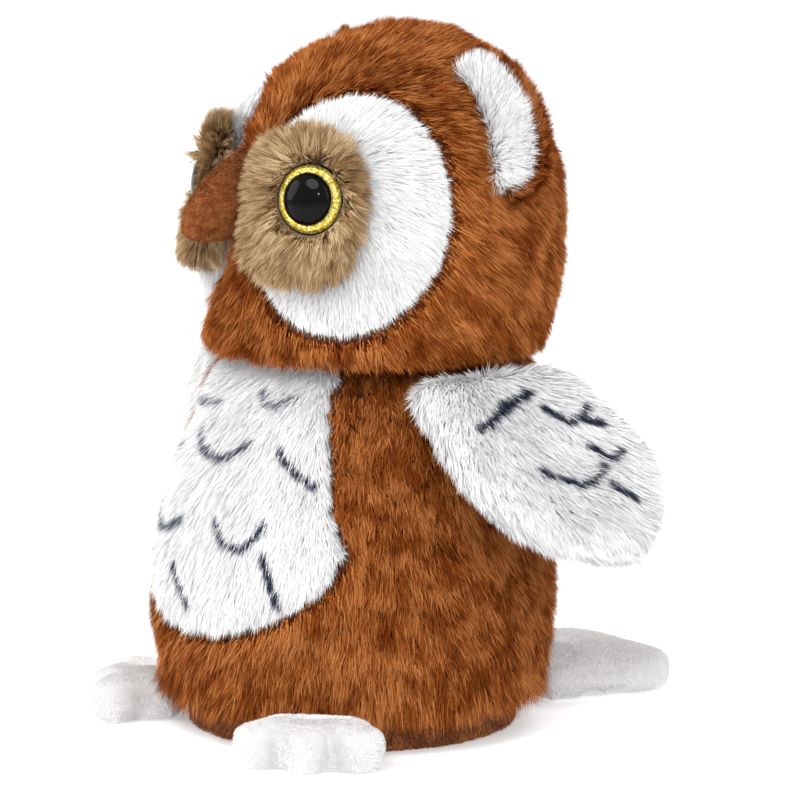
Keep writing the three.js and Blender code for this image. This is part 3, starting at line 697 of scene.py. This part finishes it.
BELLY_STROKES = [
    (-29, 112, 20, 3, 0), (22, 117, 9, 4, 0), (-1, 101, 16, 7, 0), (35, 94, 7, 1, 5), (-41, 90, 7, 2, -4),
    (-21, 73, 13, 5, 0), (18, 75, 9, 8, 0), (-5, 51, 5, 1, 6), (31, 56, 3, 1, 9), (-33, 52, 4, 1, -7),
]


def lines_piece(name, chains):
    bm = bmesh.new()
    for chain in chains:
        knots = [bm.verts.new(point) for point in chain]
        for first, second in zip(knots, knots[1:]):
            bm.edges.new((first, second))
    return from_bmesh(name, bm)


def belly_lines():
    touch = surface(belly_cloth)
    chains = []
    for middle, height, half, sag, slant in BELLY_STROKES:
        chain = []
        for angle, z in stroke(middle, height * MM, half, sag * MM, slant * MM):
            turn = math.radians(angle)
            away = Vector((math.sin(turn), -math.cos(turn), 0))
            hit = touch(Vector((0, BODY_AXIS.y, z + STROKE_LIFT)) + away * 0.2, -away)
            if hit:
                chain.append(hit + away * MARK_RISE)
        chains.append(chain)
    return lines_piece("belly_lines", chains)


# The white pile lies closer than the brown, and its tufts differ less.
SLEEK = {"rise": 0.55, "swirl": 0.9, "gather": 0.25, "jitter": 0.3, "patchiness": 0.7}
belly_marks = belly_lines()
coat("body_fur", body_cloth, rides("body"), "brown_fur", 150000, *BROWN_PILE, BROWN_FIBRES)
marked_pile = (*WHITE_PILE, WHITE_FIBRES, belly_marks)
coat("belly_fur", belly_cloth, rides("body"), "white_fur", 70000, *marked_pile, **SLEEK)

# %% [markdown]
# ## The head
#
# The head's pile is brushed away from the beak: back over the crown, and down at the cheeks and the back.
# The white discs and the tan patches are brushed away from the eyes.

# %% Head skin and face discs
EYE = {side: sum(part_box(f"eye_pupil_{side}"), Vector()) / 2 for side in SIDES}
BROW = Vector((0, HEAD_LOW.y, EYE["left"].z))


def head_backing(name, node_name, material, source, share=None, **brushing):
    piece = soft_form(name, [node_name], 2.2 * MM)
    outer = facing_out(piece, HEAD_MIDDLE - Vector((0, 0, 10 * MM))) > 0.5
    sink(piece, outer, FABRIC_SINK)
    brush(piece, outer, source, share=share(piece), **brushing)
    piece.data.materials.append(material)
    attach(piece, "head")
    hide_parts(node_name)
    return piece


RIM_HEIGHT = 14 * MM  # how far up from its lower rim the head's pile is shorter
SHORTER = 0.25  # by this share, there and on top of the crown


def short_at_rim(piece):
    """The share of full length over the head."""
    z = points_of(piece)[:, 2]
    above_rim = ramp(z, HEAD_LOW.z, HEAD_LOW.z + RIM_HEIGHT)
    crown = ramp(z, EYE["left"].z, HEAD_HIGH.z)
    return (1 - SHORTER + SHORTER * above_rim) * (1 - SHORTER * crown)


head_cloth = head_backing("head_cloth", "head_skin", BROWN_BACKING, BROW, short_at_rim, hang=0.9)
coat("head_fur", head_cloth, rides("head"), "brown_fur", 150000, *BROWN_PILE, BROWN_FIBRES)
for side in SIDES:
    node_name = f"face_disc_{side}"
    brushing = (EYE[side], short_at_edge)
    disc_cloth = head_backing(f"disc_cloth_{side}", node_name, WHITE_BACKING, *brushing, hang=0.5)
    disc_pile = (*WHITE_PILE, WHITE_FIBRES)
    coat(f"disc_fur_{side}", disc_cloth, rides("head"), "white_fur", 34000, *disc_pile, **SLEEK)

# %% [markdown]
# ## Eye patches
#
# Round each eye is a patch of looser tan pile. It stands out all round like a ruff.

# %% Eye patches
PATCH_SINK = 1.5 * MM
BEAK_ROOT = Vector((0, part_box("beak")[1].y, sum(corner.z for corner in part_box("beak")) / 2))

for side in SIDES:
    patch_cloth = soft_form(f"patch_cloth_{side}", [f"eye_patch_{side}"], 1.6 * MM)
    outer = facing_out(patch_cloth, HEAD_MIDDLE) > 0.2
    sink(patch_cloth, outer, PATCH_SINK)
    points = points_of(patch_cloth)
    by_beak = ramp(np.linalg.norm(points - np.array(BEAK_ROOT), axis=1), 12 * MM, 26 * MM)
    lower = ramp(-points[:, 2], -EYE[side].z, -EYE[side].z + 16 * MM)
    share = (0.7 + 0.3 * by_beak) * (1 + 0.1 * lower)
    brush(patch_cloth, outer, EYE[side], spread=1.2, hang=0.6, share=share)
    patch_cloth.data.materials.append(TAN_BACKING)
    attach(patch_cloth, "head")
    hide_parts(f"eye_patch_{side}")
    tan_pile = (8 * MM, 0.34 * MM, TAN_FIBRES)
    coat(f"patch_fur_{side}", patch_cloth, rides("head"), "tan_fur", 24000, *tan_pile, rise=0.9, gather=0.5)

# %% [markdown]
# ## Ears
#
# The ears are soft flaps that lie back against the head: brown behind, white inside.

# %% Ears
for side in SIDES:
    for part, node_name, cloth, fibre_set, slot, count in (
        ("ear_back", "ear_back", BROWN_BACKING, BROWN_FIBRES, "brown_fur", 17000),
        ("ear_front", "ear_lining", WHITE_BACKING, WHITE_FIBRES, "white_fur", 11000),
    ):
        flap = soft_form(f"{part}_cloth_{side}", [f"{node_name}_{side}"], 1.2 * MM)
        low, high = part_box(f"{node_name}_{side}")
        middle = (low + high) / 2
        outer = facing_out(flap, HEAD_MIDDLE) > -0.8
        root = Vector((middle.x * 0.8, middle.y, low.z))
        brush(flap, outer, root, spread=0.8, hang=0.2)
        flap.data.materials.append(cloth)
        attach(flap, "head")
        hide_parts(f"{node_name}_{side}")
        coat(f"{part}_fur_{side}", flap, rides("head"), slot, count, 6 * MM, 0.34 * MM, fibre_set)

# %% [markdown]
# ## Wings
#
# A wing is two panels of white fur with a little batting, sewn into the shoulder seam. The pile runs out to
# the tip.
# A mark is a row of points, each (back, out) in millimetres from the hinge.

# %% Wings
WING_STROKES = [
    [(-16, 18), (-4, 13), (8, 6)], [(-12, 17), (-2, 10), (10, 7)],
    [(12, 13), (20, 20), (27, 18), (30, 14)], [(26, 19), (33, 22)],
    [(0, 37), (13, 44), (19, 43), (25, 38)], [(24, 30), (30, 36), (36, 33)],
    [(25, 45), (33, 51)], [(-12, -3), (4, -4)],
]
WING_DROOP = 50  # degrees below the horizontal
WING_LIFT = 2.5 * MM  # the soft panels ride this much higher than the rigid ones, up under the head


def wing_frame(side):
    """The hinge point and three directions: back along the seam, out to the tip, and up off the face."""
    joint = JOINTS[f"wing_{side}_flap"]
    sign = 1 if side == "left" else -1
    hinge = Vector(joint["pos_m"])
    slope = math.radians(WING_DROOP)
    out = Vector((sign * math.cos(slope), 0, -math.sin(slope)))
    face = Vector((sign * math.sin(slope), 0, math.cos(slope)))
    return hinge, Vector((0, 1, 0)), out, face


def wing_lines(side, panels):
    """The marks, laid on the wing's upper side from well above it."""
    hinge, back, out, face = wing_frame(side)
    touch = surface(panels)
    above = hinge + face * 40 * MM
    chains = []
    for chain in WING_STROKES:
        hits = [touch(above + back * p * MM + out * (q + 2) * MM, -face) for p, q in chain]
        chains.append([hit + face * MARK_RISE for hit in hits if hit])
    return lines_piece(f"wing_lines_{side}", chains)


for side in SIDES:
    hinge, back, out, face = wing_frame(side)

    def on_shoulder(piece):
        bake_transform(piece)

    wing_nodes = [f"wing_{part}_{side}" for part in ("top", "batting", "under")]
    panels = soft_form(f"wing_cloth_{side}", wing_nodes, 1.8 * MM, 6)
    stuff(panels, 2, 1.5 * MM)
    move_points(panels, points_of(panels) + np.array((0, 0, WING_LIFT)))
    marks = wing_lines(side, panels)
    everywhere = np.ones(len(points_of(panels)), bool)
    brush(panels, everywhere, hinge - out * 25 * MM + back * 2 * MM, spread=1.0, hang=0.15)
    panels.data.materials.append(WHITE_BACKING)
    wing_pile = (6.5 * MM, 0.34 * MM, WHITE_FIBRES, marks)
    coat(f"wing_fur_{side}", panels, on_shoulder, "white_fur", 62000, *wing_pile, **SLEEK)
    on_shoulder(panels)
    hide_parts(wing_nodes[0], wing_nodes[-1])

# %% [markdown]
# ## Beak
#
# The beak is a stuffed cone of brown pile with a seam down its ridge.

# %% Beak
SEAM_HALF = 1.4 * MM
SEAM_DEPTH = 0.9 * MM
beak_cloth = soft_form("beak_cloth", ["beak"], 0.9 * MM, 5)
outer = facing_out(beak_cloth, HEAD_MIDDLE) > -0.5
on_ridge = 1 - ramp(np.abs(points_of(beak_cloth)[:, 0]), 0, SEAM_HALF)
sink(beak_cloth, on_ridge * (normals_of(beak_cloth)[:, 2] > -0.2), SEAM_DEPTH)
brush(beak_cloth, outer, HEAD_MIDDLE, spread=1.0, hang=0.6)
beak_cloth.data.materials.append(BEAK_CLOTH)
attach(beak_cloth, "head")
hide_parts("beak")
beak_pile = (1.5 * MM, 0.26 * MM, BEAK_FIBRES)
beak_nap = {"rise": 0.9, "swirl": 0.3, "jitter": 0.2, "gather": 0.0, "patchiness": 0.5}
coat("beak_nap", beak_cloth, rides("head"), "brown_pile", 22000, *beak_pile, **beak_nap)

# %% [markdown]
# ## Feet and tail
#
# The feet and the tail are short white plush, stuffed soft. Cloth simulation swells them.

# %% Feet
NAP = (1.1 * MM, 0.26 * MM)
FLOOR_GAP = 0.3 * MM  # swelled pads stay this far above the floor


def plush_piece(name, nodes, body, voxel, cap, count):
    """A pad made of a CAD piece's top, stuffing and underside, swelled and covered with a short nap."""
    pad = soft_form(name, nodes, voxel, 8)
    stuff(pad, 4, cap, FLOOR_GAP)
    rounder = pad.modifiers.new("rounder", "SUBSURF")
    rounder.levels = rounder.render_levels = 1
    settled(pad)
    brush(pad, normals_of(pad)[:, 2] > -0.7, points_of(pad).mean(axis=0), spread=0.8, hang=0.4)
    pad.data.materials.append(PLUSH_CLOTH)
    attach(pad, body)
    choices = {"rise": 1.2, "swirl": 0.5, "gather": 0.2, "patchiness": 0.6}
    coat(name + "_nap", pad, rides(body), "white_plush", count, *NAP, PLUSH_FIBRES, **choices)
    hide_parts(nodes[0], nodes[-1])


for side in SIDES:
    foot_nodes = [f"foot_{part}_{side}" for part in ("top", "stuffing", "sole")]
    plush_piece(f"foot_plush_{side}", foot_nodes, f"foot_{side}", 1.8 * MM, 1.6 * MM, 18000)

# %% Tail
plush_piece("tail_plush", ["tail_top", "tail_stuffing", "tail_under"], "tail", 2.2 * MM, 3 * MM, 32000)

# %% [markdown]
# ## Eyes
#
# Each eye is a moulded cup with a ring of gold glitter and a glossy black pupil.

# %% Eye materials
EYE_BLACK = new_material("eye_black", 0.07, Base_Color=(0.002, 0.002, 0.002, 1), Specular_IOR_Level=0.11)[0]
GLITTER, glitter_tree, glitter_shader = new_material("gold_glitter", 0.3, Metallic=0.6)
flakes = glitter_tree.nodes.new("ShaderNodeTexVoronoi")
flakes.inputs["Scale"].default_value = 1900
where = glitter_tree.nodes.new("ShaderNodeTexCoord")
link(glitter_tree, where.outputs["Object"], flakes.inputs["Vector"])
tone = glitter_tree.nodes.new("ShaderNodeSeparateColor")
link(glitter_tree, flakes.outputs["Color"], tone.inputs[0])
GOLD_TONES = [(0.0, (0.3, 0.2, 0.0)), (0.5, (0.85, 0.6, 0.04)), (1.0, (1.0, 0.95, 0.5))]
gold = colour_ramp(glitter_tree, tone.outputs[0], GOLD_TONES)
link(glitter_tree, gold, glitter_shader.inputs["Base Color"])
tilt = glitter_tree.nodes.new("ShaderNodeBump")
tilt.inputs["Distance"].default_value = 0.5 * MM
link(glitter_tree, tone.outputs[1], tilt.inputs["Height"])
link(glitter_tree, tilt.outputs["Normal"], glitter_shader.inputs["Normal"])


# %% Eyes
def turned_ring(name, profile, place, steps=72):
    """Turns (radius, height) points about an axis. The profile starts and ends on the axis."""
    bm = bmesh.new()
    rows = []
    angles = [2 * math.pi * i / steps for i in range(steps)]
    for radius, height in profile:
        if radius < 1e-7:
            rows.append([bm.verts.new((0, 0, height))])
            continue
        rows.append([bm.verts.new((radius * math.cos(a), radius * math.sin(a), height)) for a in angles])
    for low, high in zip(rows, rows[1:]):
        for i in range(steps):
            j = (i + 1) % steps
            corners = [low[i % len(low)], low[j % len(low)], high[j % len(high)], high[i % len(high)]]
            bm.faces.new(list(dict.fromkeys(corners)))
    bmesh.ops.remove_doubles(bm, verts=bm.verts, dist=1e-7)
    bmesh.ops.recalc_face_normals(bm, faces=bm.faces)
    bmesh.ops.transform(bm, matrix=place, verts=bm.verts)
    return from_bmesh(name, bm)


def eye_place(side):
    """The eye's seat: its centre on the face and its axis, from the cup and the pupil."""
    cup = sum(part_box(f"eye_washer_{side}"), Vector()) / 2
    axis = (EYE[side] - cup).normalized()
    turn = axis.to_track_quat("Z", "Y").to_matrix().to_4x4()
    return Matrix.Translation(EYE[side]) @ turn


# Each profile is (radius, height) in millimetres about the middle of the pupil.
RIM_PROFILE = [
    (0, -6), (11, -6), (12, -5), (12, -2.9), (11.9, -2.5),
    (11.75, -2.4), (11.65, -2.7), (11.6, -5), (0, -5),
]
RING_PROFILE = [(0, -4.6), (11.5, -4.6), (11.5, -2.3), (8.9, -0.6), (8.9, -1), (0, -1.1)]
PUPIL_PROFILE = [(0, -0.95), (8.7, -0.95), (8.6, -0.2), (7.6, 0.7), (6, 1.5), (4, 2.1), (2, 2.4), (0, 2.5)]

for side in SIDES:
    place = eye_place(side)
    for part, node_name, profile, material, slot in (
        ("eye_rim", "eye_cup", RIM_PROFILE, EYE_BLACK, "black_plastic"),
        ("eye_ring", "eye_glitter", RING_PROFILE, GLITTER, "gold_glitter"),
        ("eye_centre", "eye_pupil", PUPIL_PROFILE, EYE_BLACK, "black_plastic"),
    ):
        piece = turned_ring(f"{part}_{side}", [(r * MM, h * MM) for r, h in profile], place)
        piece.data.materials.append(material)
        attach(piece, "head")
        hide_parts(f"{node_name}_{side}")

# %% [markdown]
# ## Hem and the pieces inside
#
# The hem band gets a short brown nap. The lining and the sleeves keep their CAD shapes and get cloth. The
# stuffing is loose white fibre.

# %% Inner materials
STUFFING, stuffing_tree, stuffing_shader = new_material("loose_fibre", 0.95)
FLUFF_TONES = [(0.3, (0.7, 0.7, 0.7)), (0.7, (0.92, 0.92, 0.92))]
fluff = colour_ramp(stuffing_tree, object_noise(stuffing_tree, 160, 6), FLUFF_TONES)
link(stuffing_tree, fluff, stuffing_shader.inputs["Base Color"])
WASHER, washer_tree, washer_shader = new_material("washer_plastic", 0.45)
MILKY_TONES = [(0.3, (0.6, 0.6, 0.6)), (0.7, (0.72, 0.72, 0.72))]
milky = colour_ramp(washer_tree, object_noise(washer_tree, 300), MILKY_TONES)
link(washer_tree, milky, washer_shader.inputs["Base Color"])


def dress(material, *names):
    """Gives shown CAD nodes a finished material."""
    for name in names:
        node_object = frame["nodes"][name]
        node_object.data.materials.clear()
        node_object.data.materials.append(material)


dress(STUFFING, "head_stuffing", "tail_stuffing")
dress(LINING_CLOTH, "body_lining", "neck_sleeve", "finger_sleeve")
for side in SIDES:
    dress(STUFFING, f"foot_stuffing_{side}", f"wing_batting_{side}")
    dress(WASHER, f"eye_washer_{side}")

hem_cloth = soft_form("hem_cloth", ["hem_band"], 1.5 * MM, 2)
outer = facing_out(hem_cloth, BODY_AXIS, flat_z=True) > 0.5
brush(hem_cloth, outer, hang=1.0)
hem_cloth.data.materials.append(BROWN_BACKING)
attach(hem_cloth, "body")
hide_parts("hem_band")
coat("hem_nap", hem_cloth, rides("body"), "brown_pile", 20000, 1.8 * MM, 0.3 * MM, BEAK_FIBRES)
for spare in [NO_LINES, BLADE, belly_marks] + [bpy.data.objects[f"wing_lines_{side}"] for side in SIDES]:
    bpy.data.objects.remove(spare)

# %% [markdown]
# ## Floor, light and camera
#
# A white floor that glows a little and large soft lights keep the shadows faint. The camera looks down a
# little at the owl's left side from far away, through a long lens.

# %% Floor and light
FLOOR_SIZE = 12  # half its width
paper = bmesh.new()
bmesh.ops.create_grid(paper, x_segments=1, y_segments=1, size=FLOOR_SIZE)
floor = from_bmesh("floor", paper)
PAPER_WHITE = (0.94, 0.94, 0.94, 1)
PAPER, _, paper_shader = new_material("paper", 0.9, Base_Color=PAPER_WHITE, Specular_IOR_Level=0.05)
paper_shader.inputs["Emission Color"].default_value = (1, 1, 1, 1)
paper_shader.inputs["Emission Strength"].default_value = 0.3
floor.data.materials.append(PAPER)
world = bpy.data.worlds.new("studio")
world.use_nodes = True
world.node_tree.nodes["Background"].inputs["Color"].default_value = (1, 1, 1, 1)
world.node_tree.nodes["Background"].inputs["Strength"].default_value = 0.8
bpy.context.scene.world = world


def soft_light(name, azimuth, height, distance, size, power):
    turn = math.radians(azimuth)
    lamp = bpy.data.lights.new(name, "AREA")
    lamp.shape = "DISK"
    lamp.size = size
    lamp.energy = power
    holder = bpy.data.objects.new(name, lamp)
    holder.location = (math.sin(turn) * distance, -math.cos(turn) * distance, height)
    aim = Vector((0, 0, 120 * MM)) - holder.location
    holder.rotation_euler = aim.to_track_quat("-Z", "Y").to_euler()
    bpy.context.scene.collection.objects.link(holder)


soft_light("key", 20, 1.3, 1.1, 0.9, 12)
soft_light("fill", 95, 0.8, 1.3, 1.2, 6)
soft_light("back", 200, 1.2, 1.2, 1.0, 6)
soft_light("front", -35, 0.6, 1.2, 0.9, 6)
soft_light("sparkle", 40, 0.55, 1.0, 0.07, 0.7)

# %% Camera
AZIMUTH, ELEVATION = math.radians(54), math.radians(9.5)
DISTANCE = 1.9
VIEW_WIDTH = 274.8 * MM  # what the picture takes in at the aim
AIM_RIGHT, AIM_DOWN = 12.0 * MM, 7.4 * MM


def make_camera():
    level = math.cos(ELEVATION)
    toward = Vector((math.sin(AZIMUTH) * level, -math.cos(AZIMUTH) * level, math.sin(ELEVATION)))
    right = Vector((math.cos(AZIMUTH), math.sin(AZIMUTH), 0))
    up = toward.cross(right)
    body_middle = Vector((0, BODY_AXIS.y + 5.3 * MM, 118 * MM))
    aim = body_middle + right * AIM_RIGHT - up * AIM_DOWN
    lens = bpy.data.cameras.new("camera")
    lens.sensor_width = 36
    lens.lens = 36 * DISTANCE / VIEW_WIDTH
    camera = bpy.data.objects.new("camera", lens)
    camera.location = aim + toward * DISTANCE
    camera.rotation_euler = (-toward).to_track_quat("-Z", "Y").to_euler()
    bpy.context.scene.collection.objects.link(camera)
    bpy.context.scene.camera = camera
    print("camera", [round(v, 3) for v in camera.location])


make_camera()
bpy.context.scene.view_settings.view_transform = "Standard"
